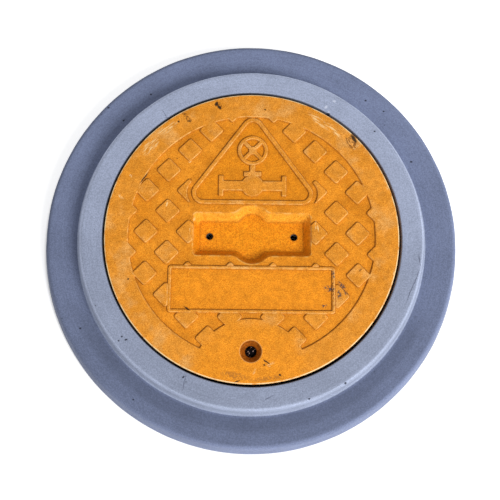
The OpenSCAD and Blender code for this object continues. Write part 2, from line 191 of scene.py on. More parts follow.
# ---- The lid's pattern, seen from above ----
SIGN_SLOPE = math.atan2(SIGN_APEX_Y - SIGN_BASE_Y, SIGN_HALF)
SIGN_IN_X = SIGN_HALF - SIGN_ROUND / math.tan(SIGN_SLOPE / 2)
SIGN_CORNERS = [
    (-SIGN_IN_X, SIGN_BASE_Y + SIGN_ROUND),
    (SIGN_IN_X, SIGN_BASE_Y + SIGN_ROUND),
    (0.0, SIGN_APEX_Y - SIGN_ROUND / math.cos(SIGN_SLOPE)),
]


def sign_edge(x, y):
    return rounded_triangle(x, y, SIGN_CORNERS, SIGN_ROUND)


def plaque_edge(x, y):
    return slab(x, y, 0, PLAQUE_Y, PLAQUE_HALF_X, PLAQUE_HALF_Y, PLAQUE_CORNER)


def recess_edge(x, y):
    block = slab(x, y, 0, RECESS_Y, RECESS_HALF_X, RECESS_HALF_Y, RECESS_CORNER)
    rounds = disc(x, np.abs(y - RECESS_Y), 0, HAND_Y, HAND_R)
    return soft_min(block, rounds, RECESS_BLEND)


def square_centres():
    """Lattice places that carry a tread square."""
    places = []
    for col in range(-6, 7):
        for row in range(-6, 7):
            if (col + row) % 2 == 0:
                continue
            x, y = col * TREAD_PITCH, TREAD_SHIFT - row * TREAD_PITCH
            share = (SIGN_APEX_Y - y) / (SIGN_APEX_Y - SIGN_BASE_Y)
            in_sign = y > SIGN_BASE_Y and abs(x) < SIGN_HALF * share
            in_recess = abs(x) < RECESS_HALF_X + 4 and abs(y - RECESS_Y) < RECESS_HALF_Y + 8
            if math.hypot(x, y) < RIM_IN_R + 16 and not in_sign and not in_recess:
                places.append((x, y))
    return places


SQUARES = square_centres()


def valve_edge(x, y):
    """A stop valve seen from the side, with its handwheel turned to face the reader."""
    wheel_y, valve_y = 149.0, 86.0
    wheel = np.abs(disc(x, y, 0, wheel_y, 23)) - 3
    s = np.minimum(wheel, disc(x, y, 0, wheel_y, 7))
    for turn in (45, 135):
        s = np.minimum(s, slab(x, y, 0, wheel_y, 23, 3, 0, turn))
    s = np.minimum(s, slab(x, y, 0, 104.5, 4.5, 18.5))
    s = np.minimum(s, slab(x, y, 0, 107, 15, 4, 1))
    s = np.minimum(s, disc(x, y, 0, valve_y, 19))
    s = np.minimum(s, slab(x, y, 0, valve_y, 54, 8.5, 1))
    for side in (-1, 1):
        s = np.minimum(s, slab(x, y, side * 54, valve_y, 4, 18, 1))
    return s


def relief_edge(x, y):
    """Distance to everything that is raised above the ground."""
    s = disc(x, y, 0, APRON_Y, APRON_R)
    for cx, cy in SQUARES:
        s = np.minimum(s, slab(x, y, cx, cy, TREAD_HALF, TREAD_HALF, TREAD_CORNER, 45))
    plaque, sign = plaque_edge(x, y), sign_edge(x, y)
    s = np.maximum(s, -plaque)
    s = np.maximum(s, SIGN_MARGIN - sign)
    s = np.minimum(s, RIM_IN_R - np.hypot(x, y))
    s = np.minimum(s, np.maximum(sign, -sign - SIGN_RIDGE))
    s = np.minimum(s, np.maximum(plaque, -plaque - PLAQUE_RIDGE))
    return np.minimum(s, valve_edge(x, y))


def top_height(x, y):
    """Height of the lid's upper face."""
    r = np.hypot(x, y)
    z = GROUND_Z + RELIEF_H * fall(relief_edge(x, y), SOFT)
    wall = GROUND_Z + recess_edge(x, y) * RECESS_DEEP / RECESS_LEAN
    z = soft_min(z, soft_max(wall, RECESS_Z, 3.5), 1.3)
    lock = np.hypot(x, y - LOCK_Y)
    cone = TOP_Z + (lock - WELL_R) * WELL_DEEP / (WELL_R - KEY_HOLE_R)
    z = soft_min(z, cone, 0.9)
    edge = np.maximum(r - LID_R + EDGE_R, 0)
    z = z - EDGE_R + np.sqrt(np.maximum(EDGE_R**2 - edge**2, 0))
    return np.minimum(z, TOP_Z) + 0.12 * np.minimum(waves(x, y, 45, 3) - 1, 0)


def rib_edge(x, y):
    """Distance to the ribs and the bosses of the lifting holes."""
    s = np.full(np.shape(x), 1e9)
    for row in range(-2, 3):
        s = np.minimum(s, np.abs(y - RIB_PITCH_Y * row) - RIB_HALF)
    for col in (-3, -2, -1, 1, 2, 3):
        s = np.minimum(s, np.abs(x - RIB_PITCH_X * col) - RIB_HALF)
    for side in (-1, 1):
        s = np.minimum(s, disc(x, y, side * LIFT_X, RECESS_Y, LIFT_BOSS_R))
    return s


def skirt_edge(x, y):
    """Distance to the rim and the lock's boss, which reach lowest."""
    return np.minimum(RIM_UNDER_R - np.hypot(x, y), disc(x, y, 0, LOCK_Y, LOCK_BOSS_R))


def pan_edge(x, y):
    block = slab(x, y, 0, RECESS_Y, RECESS_HALF_X + PAN_T, RECESS_HALF_Y + PAN_T, 6)
    return np.minimum(block, disc(x, np.abs(y - RECESS_Y), 0, HAND_Y, HAND_R + PAN_T))


def under_height(x, y):
    """Height of the lid's lower face."""
    steps = [
        (rib_edge(x, y), LID_Z, RIB_SOFT),
        (skirt_edge(x, y), LID_Z, RIB_SOFT),
        (pan_edge(x, y), RECESS_Z - PAN_T, PAN_SOFT),
    ]
    z = np.full(np.shape(x), PLATE_Z)
    for s, level, half in steps:
        z = np.minimum(z, PLATE_Z + (level - PLATE_Z) * fall(s, half))
    return z


# ---- Level lines and the mesh between them ----
def level_lines(field, axis, level):
    """Closed lines on which a field, given on a square grid, has one value."""
    pitch = axis[1] - axis[0]
    inside = field < level
    cross_x = inside[1:, :] != inside[:-1, :]
    cross_y = inside[:, 1:] != inside[:, :-1]
    id_x = np.full(cross_x.shape, -1)
    id_y = np.full(cross_y.shape, -1)
    id_x[cross_x] = np.arange(cross_x.sum())
    id_y[cross_y] = np.arange(cross_y.sum()) + cross_x.sum()
    i, j = np.nonzero(cross_x)
    part = (level - field[i, j]) / (field[i + 1, j] - field[i, j])
    points = [np.stack([axis[i] + part * pitch, axis[j]], 1)]
    i, j = np.nonzero(cross_y)
    part = (level - field[i, j]) / (field[i, j + 1] - field[i, j])
    points.append(np.stack([axis[i], axis[j] + part * pitch], 1))
    points = np.concatenate(points)
    cell = np.stack([id_x[:, :-1], id_y[1:, :], id_x[:, 1:], id_y[:-1, :]], -1).reshape(-1, 4)
    count = (cell >= 0).sum(1)
    two = cell[count == 2]
    four = cell[count == 4].reshape(-1, 2)
    links = np.concatenate([two[two >= 0].reshape(-1, 2), four])
    return [points[ids] for ids in closed_walks(links, len(points))]


def closed_walks(links, count):
    """Orders linked point numbers into closed walks."""
    next_to = [[] for _ in range(count)]
    for a, b in links.tolist():
        next_to[a].append(b)
        next_to[b].append(a)
    seen = [False] * count
    walks = []
    for start in range(count):
        if seen[start]:
            continue
        walk, here, last = [], start, -1
        while not seen[here]:
            seen[here] = True
            walk.append(here)
            onward = [n for n in next_to[here] if n != last and not seen[n]]
            last = here
            if onward:
                here = onward[0]
        if len(walk) > 5:
            walks.append(walk)
    return walks


def thinned(line, tolerance, longest):
    """A closed line without the points that lie almost on it anyway."""
    for turn in range(10):
        before, after = np.roll(line, 1, 0), np.roll(line, -1, 0)
        span = after - before
        length = np.maximum(np.hypot(span[:, 0], span[:, 1]), 1e-9)
        gap = line - before
        off = np.abs(span[:, 0] * gap[:, 1] - span[:, 1] * gap[:, 0]) / length
        number = np.arange(len(line))
        drop = (off < tolerance) & (length < longest) & (number % 2 == turn % 2)
        drop[-1] = False
        if len(line) - drop.sum() < 6:
            break
        line = line[~drop]
    return line


def circle(cx, cy, r, count):
    a = np.linspace(0, 2 * math.pi, count, endpoint=False)
    return np.stack([cx + r * np.cos(a), cy + r * np.sin(a)], 1)


def honeycomb(reach, pitch):
    """Loose points over a disc."""
    rows = np.arange(-reach, reach, pitch * 0.866)
    cols = np.arange(-reach, reach, pitch)
    x, y = np.meshgrid(cols, rows)
    x = x + np.where(np.arange(len(rows)) % 2, pitch / 2, 0)[:, None]
    keep = np.hypot(x, y) < reach
    return np.stack([x[keep], y[keep]], 1)


def mesh_between(lines, rings, loose):
    """Triangles over the outermost ring. Returns points, triangles and each ring's point numbers."""
    parts = rings + lines
    edges, start = [], 0
    for part in parts:
        n = len(part)
        edges += [(start + k, start + (k + 1) % n) for k in range(n)]
        start += n
    points = np.concatenate(parts + [loose])
    flat = [Vector((float(px), float(py))) for px, py in points]
    out = delaunay_2d_cdt(flat, edges, [], 0, 1e-4)
    new_of = {}
    for new, olds in enumerate(out[3]):
        for old in olds:
            new_of[old] = new
    ids, start = [], 0
    for ring in rings:
        ids.append([new_of[start + k] for k in range(len(ring))])
        start += len(ring)
    return np.array([tuple(v) for v in out[0]]), np.array([tuple(f) for f in out[2]]), ids


def without_holes(points, faces, holes):
    """Drops the triangles inside round holes, given as (x, y, radius).

    The limit lies on the flats of a hole's edge, so that thin triangles just inside them go too.
    """
    centre = points[faces].mean(1)
    keep = np.ones(len(faces), bool)
    flats = math.cos(math.pi / HOLE)
    for hx, hy, r in holes:
        keep &= np.hypot(centre[:, 0] - hx, centre[:, 1] - hy) > r * flats
    return faces[keep]


def quads_between(ring_a, ring_b):
    n = len(ring_a)
    return [(ring_a[k], ring_a[(k + 1) % n], ring_b[(k + 1) % n], ring_b[k]) for k in range(n)]


def new_piece(name, points, faces, body, replaced):
    """A smooth-shaded closed mesh from points in millimetres, on its body."""
    mesh = bpy.data.meshes.new(name)
    mesh.from_pydata((np.asarray(points) * MM).tolist(), [], faces)
    piece = bpy.data.objects.new(name, mesh)
    bpy.context.scene.collection.objects.link(piece)
    shape = bmesh.new()
    shape.from_mesh(mesh)
    loose = [v for v in shape.verts if not v.link_faces]
    bmesh.ops.delete(shape, geom=loose, context="VERTS")
    bmesh.ops.recalc_face_normals(shape, faces=shape.faces)
    shape.to_mesh(mesh)
    shape.free()
    mesh.shade_smooth()
    mesh.set_sharp_from_angle(angle=math.radians(48))
    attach(piece, body)
    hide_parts(replaced)
    return piece


def add_attribute(mesh, name, values):
    attribute = mesh.attributes.new(name, "FLOAT", "POINT")
    attribute.data.foreach_set("value", np.asarray(values, np.float32))


LIFTS = [(-LIFT_X, RECESS_Y), (LIFT_X, RECESS_Y)]
# Points round the lid's outer edge and round each hole
RING = 360
HOLE = 48


# Where the upper face needs lines of points: across each raised edge, down the recess's
# wall, inwards from the lid's outer edge, and round the lock's well
RELIEF_LEVELS = (-2 * SOFT, -SOFT, -SOFT / 2, 0.0, SOFT / 2, SOFT, 2 * SOFT)
RECESS_LEVELS = (2.4, 1.2, 0.4, -0.4, -1.2, -4.5, -8.5, -9.8, -10.6, -11.4, -12.2, -14)
OUTER_INSETS = (0.25, 0.8, 1.5, 2.4, 4.0)
WELL_RADII = (11.5, 14.5, 17.6, 18.4, 19.2, 20.4)


def lid_top():
    """Points, triangles and rings of the lid's upper face."""
    axis = np.arange(-LID_R - 3, LID_R + 3, 1.5)
    x, y = np.meshgrid(axis, axis, indexing="ij")
    relief, recess = relief_edge(x, y), recess_edge(x, y)
    lines = []
    for level in RELIEF_LEVELS:
        lines += level_lines(relief, axis, level)
    for level in RECESS_LEVELS:
        lines += level_lines(recess, axis, level)
    lines = [thinned(line, tolerance=0.03, longest=14) for line in lines]
    lines = [line for line in lines if len(line) > 5]
    rings = [circle(0, 0, LID_R, RING)]
    rings += [circle(hx, hy, LIFT_R, HOLE) for hx, hy in LIFTS]
    rings.append(circle(0, LOCK_Y, KEY_HOLE_R, HOLE))
    for inset in OUTER_INSETS:
        lines.append(circle(0, 0, LID_R - inset, RING))
    for r in WELL_RADII:
        lines.append(circle(0, LOCK_Y, r, HOLE))
    loose = honeycomb(reach=LID_R - 6, pitch=7.5)
    # Loose points keep clear of the lines and rings
    lx, ly = loose[:, 0], loose[:, 1]
    clear = (np.abs(relief_edge(lx, ly)) > 3) & (recess_edge(lx, ly) > 5)
    deep = recess_edge(lx, ly) < -17
    free = np.hypot(lx, ly - LOCK_Y) > 23
    for hx, hy in LIFTS:
        free &= np.hypot(lx - hx, ly - hy) > 8
    loose = loose[(clear | deep) & free]
    points, faces, ids = mesh_between(lines, rings, loose)
    holes = [(hx, hy, LIFT_R) for hx, hy in LIFTS] + [(0, LOCK_Y, KEY_HOLE_R)]
    return points, without_holes(points, faces, holes), ids


def lid_under():
    """Points, triangles and rings of the lid's lower face."""
    out_r = LID_R - RIM_DRAFT
    axis = np.arange(-LID_R - 3, LID_R + 3, 2.0)
    x, y = np.meshgrid(axis, axis, indexing="ij")
    lines = []
    limit = np.hypot(x, y) - RIM_UNDER_R - 4
    ribs = np.maximum(rib_edge(x, y), limit)
    for level in (-RIB_SOFT, -RIB_SOFT / 2, RIB_SOFT / 2, RIB_SOFT):
        lines += level_lines(ribs, axis, level)
        lines += level_lines(skirt_edge(x, y), axis, level)
    for level in (-PAN_SOFT, 0.0, PAN_SOFT):
        lines += level_lines(pan_edge(x, y), axis, level)
    lines = [thinned(line, tolerance=0.03, longest=20) for line in lines]
    rings = [circle(0, 0, out_r, RING)]
    rings += [circle(hx, hy, BUSH_R, HOLE) for hx, hy in LIFTS]
    rings.append(circle(0, LOCK_Y, SLEEVE_R, HOLE))
    points, faces, ids = mesh_between(lines, rings, circle(0, 0, out_r - 8, 90))
    holes = [(hx, hy, BUSH_R) for hx, hy in LIFTS] + [(0, LOCK_Y, SLEEVE_R)]
    return points, without_holes(points, faces, holes), ids


def make_lid():
    """The moulded lid as one closed mesh: upper face, lower face, outer wall and bores."""
    top, top_faces, top_ids = lid_top()
    low, low_faces, low_ids = lid_under()
    top_z = top_height(top[:, 0], top[:, 1])
    low_z = under_height(low[:, 0], low[:, 1])
    points = np.concatenate([np.column_stack([top, top_z]), np.column_stack([low, low_z])])
    faces = top_faces.tolist() + (low_faces + len(top)).tolist()
    low_ids = [[n + len(top) for n in ring] for ring in low_ids]
    extra = []
    count = len(points)

    def ring_at(cx, cy, r, z, n):
        nonlocal count
        extra.append(np.column_stack([circle(cx, cy, r, n), np.full(n, z)]))
        count += n
        return list(range(count - n, count))

    def tube(first, steps, last, cx, cy):
        rings = [first] + [ring_at(cx, cy, r, z, len(first)) for r, z in steps] + [last]
        for a, b in zip(rings, rings[1:]):
            faces.extend(quads_between(a, b))

    out_r = LID_R - RIM_DRAFT
    tube(top_ids[0], [(LID_R - 0.5, TOP_Z - 12), (out_r + 0.9, LID_Z + 2.2)], low_ids[0], 0, 0)
    for (hx, hy), a, b in zip(LIFTS, top_ids[1:3], low_ids[1:3]):
        tube(a, [(LIFT_R, BUSH_Z), (BUSH_R, BUSH_Z)], b, hx, hy)
    tube(top_ids[3], [(KEY_HOLE_R, SLEEVE_Z), (SLEEVE_R, SLEEVE_Z)], low_ids[3], 0, LOCK_Y)
    points = np.concatenate([points] + extra)
    lid = new_piece("lid_moulding", points, faces, "lid", "lid_shell")
    describe_lid(lid.data)
    return lid


def describe_lid(mesh):
    """Stores where the lid's tops, edges, feet, fields and hollows are, for its material.

    Edges that face +x and -y, towards the lamp, are painted pale: wear with a painted highlight on top.
    Those that face -x and +y get darker feet: dirt with painted shade on top, and a painted shadow spreading onto
    the ground.
    """
    co = np.zeros(len(mesh.vertices) * 3, np.float32)
    mesh.vertices.foreach_get("co", co)
    x, y, z = (co.reshape(-1, 3) / MM).T
    r = np.hypot(x, y)
    s, hollow = relief_edge(x, y), recess_edge(x, y)
    upper = z > top_height(x, y) - 0.5
    shown = upper * (hollow > -0.5)
    ground = 1 - fall(s, SOFT)
    step, diagonal = 0.4, 0.7
    slope_x = relief_edge(x + step, y) - relief_edge(x - step, y)
    slope_y = relief_edge(x, y + step) - relief_edge(x, y - step)
    # Painted light: 1 on edges that face the lamp at +x and -y, 0 on those that face away from it.
    lit_side = np.clip(0.5 + (diagonal * slope_x - diagonal * slope_y) / (4 * step), 0, 1)
    add_attribute(mesh, "raised", shown * fall(s, SOFT))
    edge = shown * np.exp(-((s + 0.6) ** 2) * 5)
    # Pale top edges: wear, with a painted highlight that is strongest where they face the lamp.
    add_attribute(mesh, "edge", edge * (0.15 + 0.85 * lit_side))
    # Dark feet: dirt, with painted shade where they face away from the lamp, and a wide painted shadow on the
    # ground beside them.
    foot = shown * np.maximum(np.exp(-((s - 0.7) ** 2) * 3), 0.22 * (s > 0.7) * np.exp(-s / 5))
    add_attribute(mesh, "foot", foot * (1 - 0.6 * lit_side))
    wall = np.clip(-hollow, 0, 1) * np.clip(RECESS_LEAN + 0.3 + hollow, 0, 1)
    add_attribute(mesh, "hollow", upper * np.clip(-hollow, 0, 1))
    # Painted highlight: the recess's north wall, which faces the lamp.
    add_attribute(mesh, "north", upper * wall * np.clip((y - RECESS_Y - 19) / 6, 0, 1))
    # Painted shade: the recess's south wall, which faces away from the lamp.
    add_attribute(mesh, "south_wall_shade", upper * wall * np.clip((RECESS_Y - 20 - y) / 15, 0, 1))
    add_attribute(mesh, "mouth", upper * np.exp(-((hollow - 0.2) ** 2) / 1.5))
    # Painted shade: the floor of the recess along the foot of its walls.
    add_attribute(mesh, "crease_shade", upper * np.clip(1 - np.abs(hollow + RECESS_LEAN + 0.3) / 2.4, 0, 1))
    add_attribute(mesh, "plaque", shown * ground * (plaque_edge(x, y) < 0))
    add_attribute(mesh, "sign", shown * ground * (sign_edge(x, y) < 0))
    add_attribute(mesh, "brim", upper * np.clip(1 - np.abs(r - LID_R + 1.1) / 1.3, 0, 1))


# ---- Concrete surround ----
CAST_LOW, CAST_HIGH = box_mm("frame_casting")
FOOT_R = CAST_HIGH[0]
FOOT_Z = 8.0
FLANGE_R = 355.0
COLLAR_Z = CAST_HIGH[2]
FLANGE_Z = 54.0
OPENING_R = 253.5
SEAT_Z = 46.0
CLEAR_R = 220.0
COLLAR_FOOT_R = 301.0
COLLAR_TOP_R = 291.0
GROOVE_IN_R = 227.9
GROOVE_OUT_R = 240.1
GROOVE_Z = 42.0
POCKET_R = 66.0
POCKET_Z = 28.0
# The lid lies a little to one side of its opening
OPENING_SHIFT = (1.0, -0.6)


def filleted(corners, steps=6):
    """A line through (r, z, rounding) corners, each rounded by an arc."""
    line = []
    for k, (r, z, rounding) in enumerate(corners):
        here = np.array([r, z], float)
        if rounding <= 0 or k in (0, len(corners) - 1):
            line.append(here)
            continue
        back = np.array(corners[k - 1][:2], float) - here
        ahead = np.array(corners[k + 1][:2], float) - here
        back /= np.hypot(*back)
        ahead /= np.hypot(*ahead)
        half = math.acos(np.clip(back @ ahead, -1, 1)) / 2
        reach = rounding / math.tan(half)
        middle = (back + ahead) / np.hypot(*(back + ahead))
        centre = here + middle * rounding / math.sin(half)
        first, last = here + back * reach - centre, here + ahead * reach - centre
        for share in np.linspace(0, 1, steps + 1):
            turn = 2 * (math.pi / 2 - half) * share
            side = math.copysign(1, first[0] * last[1] - first[1] * last[0])
            c, s = math.cos(side * turn), math.sin(side * turn)
            line.append(centre + [c * first[0] - s * first[1], s * first[0] + c * first[1]])
    return np.array(line)


def filled_in(line, longest):
    """The same line with points added where it runs straight for long."""
    out = [line[0]]
    for a, b in zip(line, line[1:]):
        pieces = max(1, math.ceil(np.hypot(*(b - a)) / longest))
        out += [a + (b - a) * k / pieces for k in range(1, pieces + 1)]
    return np.array(out)


def make_surround():
    """The casting as a turned body, a little uneven, with the lock's pocket cut out of it."""
    corners = [
        (CLEAR_R, 0, 0), (FOOT_R, 0, 1.5), (FOOT_R, FOOT_Z, 4), (FLANGE_R, FLANGE_Z, 8.5),
        (COLLAR_FOOT_R, FLANGE_Z, 2.5), (COLLAR_TOP_R, COLLAR_Z, 7), (OPENING_R, COLLAR_Z, 2.2),
        (OPENING_R, SEAT_Z, 0), (GROOVE_OUT_R, SEAT_Z, 0), (GROOVE_OUT_R, GROOVE_Z, 0),
        (GROOVE_IN_R, GROOVE_Z, 0), (GROOVE_IN_R, SEAT_Z, 0), (CLEAR_R, SEAT_Z, 1.5),
        (CLEAR_R, 0, 0),
    ]
    line = filled_in(filleted(corners), 6)[:-1]
    count = 480
    angle = np.linspace(0, 2 * math.pi, count, endpoint=False)
    r, a = np.meshgrid(line[:, 0], angle)
    z = np.broadcast_to(line[:, 1], r.shape).copy()
    x, y = r * np.cos(a), r * np.sin(a)
    # The unevenness stays off the opening and the foot
    outer = np.clip((r - OPENING_R - 1) / 6, 0, 1) * np.clip(z / 6, 0, 1)
    swell = 0.35 * (waves(x, y, 90, 11) - 1) + 0.15 * (waves(x, y, 28, 12) - 1)
    sink = 0.25 * (waves(x, y, 110, 13) - 1) + 0.1 * (waves(x, y, 24, 14) - 1)
    r = r + np.minimum(swell, 0) * outer
    z = z + np.minimum(sink, 0) * outer
    # The shift grows upwards from the seat and dies out across the collar's top
    aside = np.clip((280 - r) / 20, 0, 1) * np.clip((z - SEAT_Z - 4) / 20, 0, 1)
    x = r * np.cos(a) + OPENING_SHIFT[0] * aside
    y = r * np.sin(a) + OPENING_SHIFT[1] * aside
    points = np.stack([x, y, z], -1).reshape(-1, 3)
    n = len(line)
    faces = []
    for i in range(count):
        for k in range(n):
            a0, a1 = i * n + k, i * n + (k + 1) % n
            b0, b1 = ((i + 1) % count) * n + k, ((i + 1) % count) * n + (k + 1) % n
            faces.append((a0, b0, b1, a1))
    casting = new_piece("surround_casting", points, faces, "surround", "frame_casting")
    cut_pocket(casting)
    return casting


def cut_pocket(casting):
    """Cuts the round pocket that the lock's tongue swings into."""
    shape = bmesh.new()
    depth = POCKET_Z + 5
    centre = Matrix.Translation((0, LOCK_Y * MM, (POCKET_Z - depth / 2) * MM))
    bmesh.ops.create_cone(
        shape, cap_ends=True, segments=144, radius1=POCKET_R * MM, radius2=POCKET_R * MM,
        depth=depth * MM, matrix=centre,
    )
    mesh = bpy.data.meshes.new("pocket_cutter")
    shape.to_mesh(mesh)
    shape.free()
    cutter = bpy.data.objects.new("pocket_cutter", mesh)
    bpy.context.scene.collection.objects.link(cutter)
    modifier = casting.modifiers.new("pocket", "BOOLEAN")
    modifier.operation = "DIFFERENCE"
    modifier.solver = "EXACT"
    modifier.object = cutter
    depsgraph = bpy.context.evaluated_depsgraph_get()
    cut = bpy.data.meshes.new_from_object(casting.evaluated_get(depsgraph), depsgraph=depsgraph)
    casting.modifiers.clear()
    casting.data = cut
    shape = bmesh.new()
    shape.from_mesh(cut)
    bmesh.ops.remove_doubles(shape, verts=shape.verts, dist=1e-5)
    bmesh.ops.dissolve_degenerate(shape, edges=shape.edges, dist=1e-5)
    shape.to_mesh(cut)
    shape.free()
    cut.name = "surround_casting"
    cut.shade_smooth()
    cut.set_sharp_from_angle(angle=math.radians(40))
    bpy.data.objects.remove(cutter)


# ---- Materials ----
class Look:
    """A material's node tree, built by short calls. Sockets and plain values both go in."""

    def __init__(self, name):
        self.material = bpy.data.materials.new(name)
        self.material.use_nodes = True
        self.tree = self.material.node_tree
        self.shader = self.tree.nodes["Principled BSDF"]
        self.place = self.tree.nodes.new("ShaderNodeTexCoord").outputs["Object"]

    def put(self, socket, value):
        if isinstance(value, bpy.types.NodeSocket):
            self.tree.links.new(value, socket)
        elif hasattr(value, "__len__") and len(value) == 3 and socket.type == "RGBA":
            socket.default_value = (*value, 1)
        else:
            socket.default_value = value

    def math(self, operation, a, b=0.0, clamp=False):
        made = self.tree.nodes.new("ShaderNodeMath")
        made.operation = operation
        made.use_clamp = clamp
        self.put(made.inputs[0], a)
        self.put(made.inputs[1], b)
        return made.outputs[0]

    def vector(self, operation, a, b=(0, 0, 0)):
        made = self.tree.nodes.new("ShaderNodeVectorMath")
        made.operation = operation
        self.put(made.inputs[0], a)
        self.put(made.inputs[1], b)
        return made.outputs["Value" if operation in ("LENGTH", "DOT_PRODUCT") else "Vector"]

    def noise(self, size_mm, detail=3.0, rough=0.55, place=None, swirl=0.0):
        made = self.tree.nodes.new("ShaderNodeTexNoise")
        made.inputs["Distortion"].default_value = swirl
        self.put(made.inputs["Vector"], place or self.place)
        made.inputs["Scale"].default_value = 1000 / size_mm
        made.inputs["Detail"].default_value = detail
        made.inputs["Roughness"].default_value = rough
        return made.outputs["Fac"]

    def cells(self, size_mm):
        made = self.tree.nodes.new("ShaderNodeTexVoronoi")
        self.put(made.inputs["Vector"], self.place)
        made.inputs["Scale"].default_value = 1000 / size_mm
        return made

    def range(self, value, low, high, to_low=0.0, to_high=1.0):
        made = self.tree.nodes.new("ShaderNodeMapRange")
        made.interpolation_type = "SMOOTHSTEP"
        self.put(made.inputs["Value"], value)
        made.inputs["From Min"].default_value = low
        made.inputs["From Max"].default_value = high
        made.inputs["To Min"].default_value = to_low
        made.inputs["To Max"].default_value = to_high
        return made.outputs["Result"]

    def mix(self, share, a, b, blend="MIX"):
        made = self.tree.nodes.new("ShaderNodeMix")
        made.data_type = "RGBA"
        made.blend_type = blend
        self.put(made.inputs["Factor"], share)
        self.put(made.inputs[6], a)
        self.put(made.inputs[7], b)
        return made.outputs[2]

    def attribute(self, name):
        made = self.tree.nodes.new("ShaderNodeAttribute")
        made.attribute_name = name
        return made.outputs["Fac"]

    def times(self, *factors):
        product = factors[0]
        for factor in factors[1:]:
            product = self.math("MULTIPLY", product, factor)
        return product

    def tint(self, colour, factor):
        """The colour made lighter or darker by a factor near 1."""
        return self.mix(1.0, colour, factor, "MULTIPLY")

    def mottle(self, colour, size_mm, share, detail=2.0, rough=0.55):
        """The colour with uneven tone; size_mm is the width of the patches."""
        tone = self.range(self.noise(size_mm, detail, rough), 0.3, 0.7, 1 - share, 1 + share)
        return self.tint(colour, tone)

    def grain(self, colour, size_mm, dark, pale, detail=3.0, rough=0.75):
        """The colour with fine grain; dark and pale are factors for its three channels."""
        tone = self.range(self.noise(size_mm, detail, rough), 0.3, 0.7)
        return self.mix(1.0, colour, self.mix(tone, dark, pale), "MULTIPLY")

    def radius(self, cx=0.0, cy=0.0):
        """Distance from a vertical line at cx, cy, in millimetres."""
        flat = self.vector("MULTIPLY", self.place, (1000, 1000, 0))
        return self.vector("LENGTH", self.vector("SUBTRACT", flat, (cx, cy, 0)))

    def along(self, axis):
        """One coordinate in millimetres."""
        made = self.tree.nodes.new("ShaderNodeSeparateXYZ")
        self.put(made.inputs[0], self.place)
        return self.math("MULTIPLY", made.outputs[axis], 1000)

    def shaken(self, size_mm, by_mm):
        """The surface's coordinates, pushed about so that shapes drawn on them look ragged."""
        made = self.tree.nodes.new("ShaderNodeTexNoise")
        self.put(made.inputs["Vector"], self.place)
        made.inputs["Scale"].default_value = 1000 / size_mm
        made.inputs["Detail"].default_value = 3
        push = self.vector("SUBTRACT", made.outputs["Color"], (0.5, 0.5, 0.5))
        reach = 4 * by_mm * MM
        return self.vector("ADD", self.place, self.vector("MULTIPLY", push, (reach, reach, 0)))

    def ring_strokes(self, length_mm, width_mm, at_r):
        """Noise drawn out into strokes that run round the middle; lengths are true at one radius."""
        angle = self.math("ARCTAN2", self.along("Y"), self.along("X"))
        made = self.tree.nodes.new("ShaderNodeCombineXYZ")
        self.put(made.inputs["X"], self.math("MULTIPLY", angle, at_r / length_mm))
        self.put(made.inputs["Y"], self.math("MULTIPLY", self.radius(), 1 / width_mm))
        return self.noise(1000, 3, 0.6, made.outputs["Vector"])

    def mark(self, place, x, y, half_length, half_width, turn):
        """1 on a small oval at x, y, fading to 0 round it."""
        made = self.tree.nodes.new("ShaderNodeMapping")
        made.vector_type = "TEXTURE"
        self.put(made.inputs["Vector"], place)
        made.inputs["Location"].default_value = (x * MM, y * MM, 0)
        made.inputs["Rotation"].default_value = (0, 0, math.radians(turn))
        made.inputs["Scale"].default_value = (half_length * MM, half_width * MM, 1)
        return self.range(self.vector("LENGTH", made.outputs["Vector"]), 1.3, 0.6)

    def marked(self, colour, place, marks, tone, strength, broken=None):
        """The colour with all marks of one tone on it."""
        mask = 0.0
        for x, y, half_length, half_width, turn, name in marks:
            if name == tone:
                one = self.mark(place, x, y, half_length, half_width, turn)
                mask = self.math("MAXIMUM", mask, one)
        mask = self.times(mask, strength)
        if broken is not None:
            mask = self.times(mask, broken)
        return self.mix(mask, colour, TONES[tone])

    def bump(self, height, strength, distance_mm, under=None):
        made = self.tree.nodes.new("ShaderNodeBump")
        made.inputs["Strength"].default_value = strength
        made.inputs["Distance"].default_value = distance_mm * MM
        self.put(made.inputs["Height"], height)
        if under is not None:
            self.put(made.inputs["Normal"], under)
        return made.outputs["Normal"]

    def finish(self, colour, roughness, normal=None, metallic=0.0, specular=0.5):
        self.put(self.shader.inputs["Base Color"], colour)
        self.put(self.shader.inputs["Roughness"], roughness)
        self.shader.inputs["Metallic"].default_value = metallic
        self.shader.inputs["Specular IOR Level"].default_value = specular
        if normal is not None:
            self.put(self.shader.inputs["Normal"], normal)
        return self.material


# Colours of wear and dirt
TONES = {
    "soot": (0.018, 0.012, 0.008),
    "brown": (0.15, 0.045, 0.006),
    "slate": (0.05, 0.048, 0.055),
    "stain": (0.38, 0.14, 0.022),
    "cream": (0.95, 0.66, 0.3),
    "pinhole": (0.025, 0.028, 0.045),
    "crack": (0.075, 0.085, 0.13),
    "chip": (0.62, 0.66, 0.78),
}
